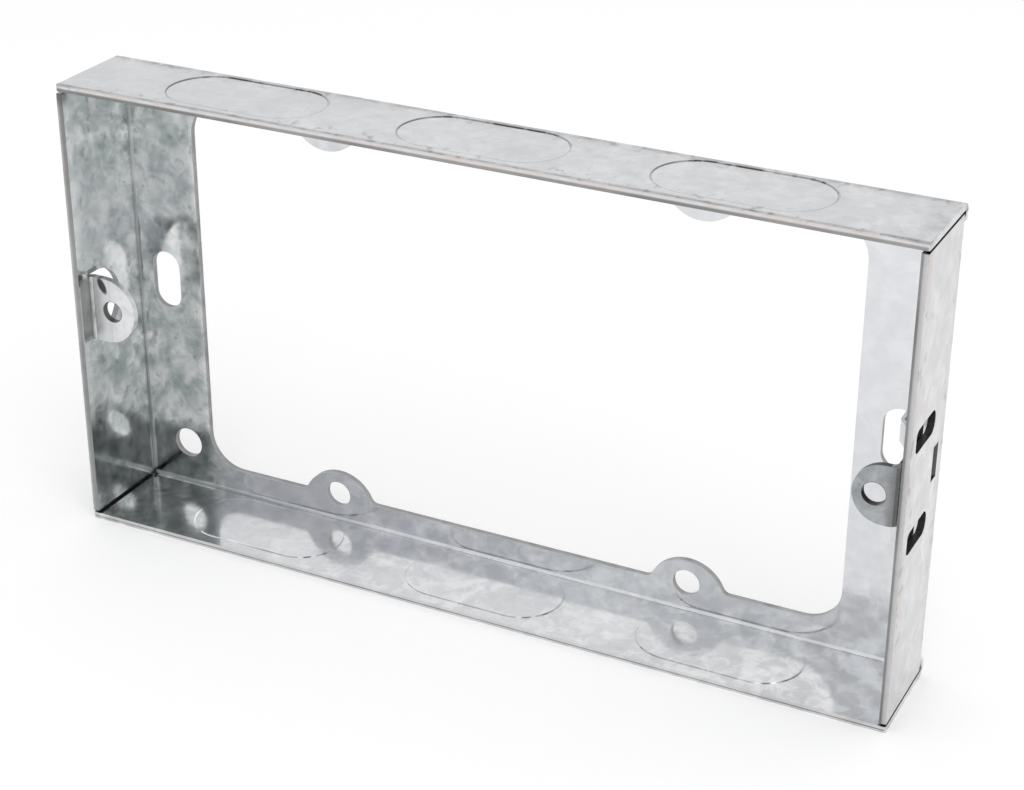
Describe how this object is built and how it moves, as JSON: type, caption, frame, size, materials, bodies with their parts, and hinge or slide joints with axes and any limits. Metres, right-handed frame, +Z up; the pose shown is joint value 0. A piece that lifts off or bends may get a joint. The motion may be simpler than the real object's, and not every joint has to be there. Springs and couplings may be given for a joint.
{
  "type": "extension box",
  "caption": "Shallow rectangular steel frame, folded from sheet, with a sliding lug, that spaces a wiring accessory's front plate forward of its wall box.",
  "frame": {"origin": "under the middle of the box, on the outer face of the long wall that it stands on", "axes": "+X along the long walls, +Y from the open front rim towards the back flange, +Z up from the lower long wall to the upper one"},
  "size_m": [0.13, 0.0164, 0.0714],
  "materials": {
    "galvanised_steel": "satin galvanised zinc with a faint mottle",
    "lug_steel": "satin galvanised zinc, a shade darker"
  },
  "bodies": {
    "box": {"extension_box": "galvanised_steel"},
    "lug": {"adjustable_lug": "lug_steel"}
  },
  "joints": [
    {"name": "lug_slide", "type": "slide", "parent": "box", "child": "lug", "axis": [0, 0, 1], "range_m": [-0.0012, 0.0018]}
  ]
}
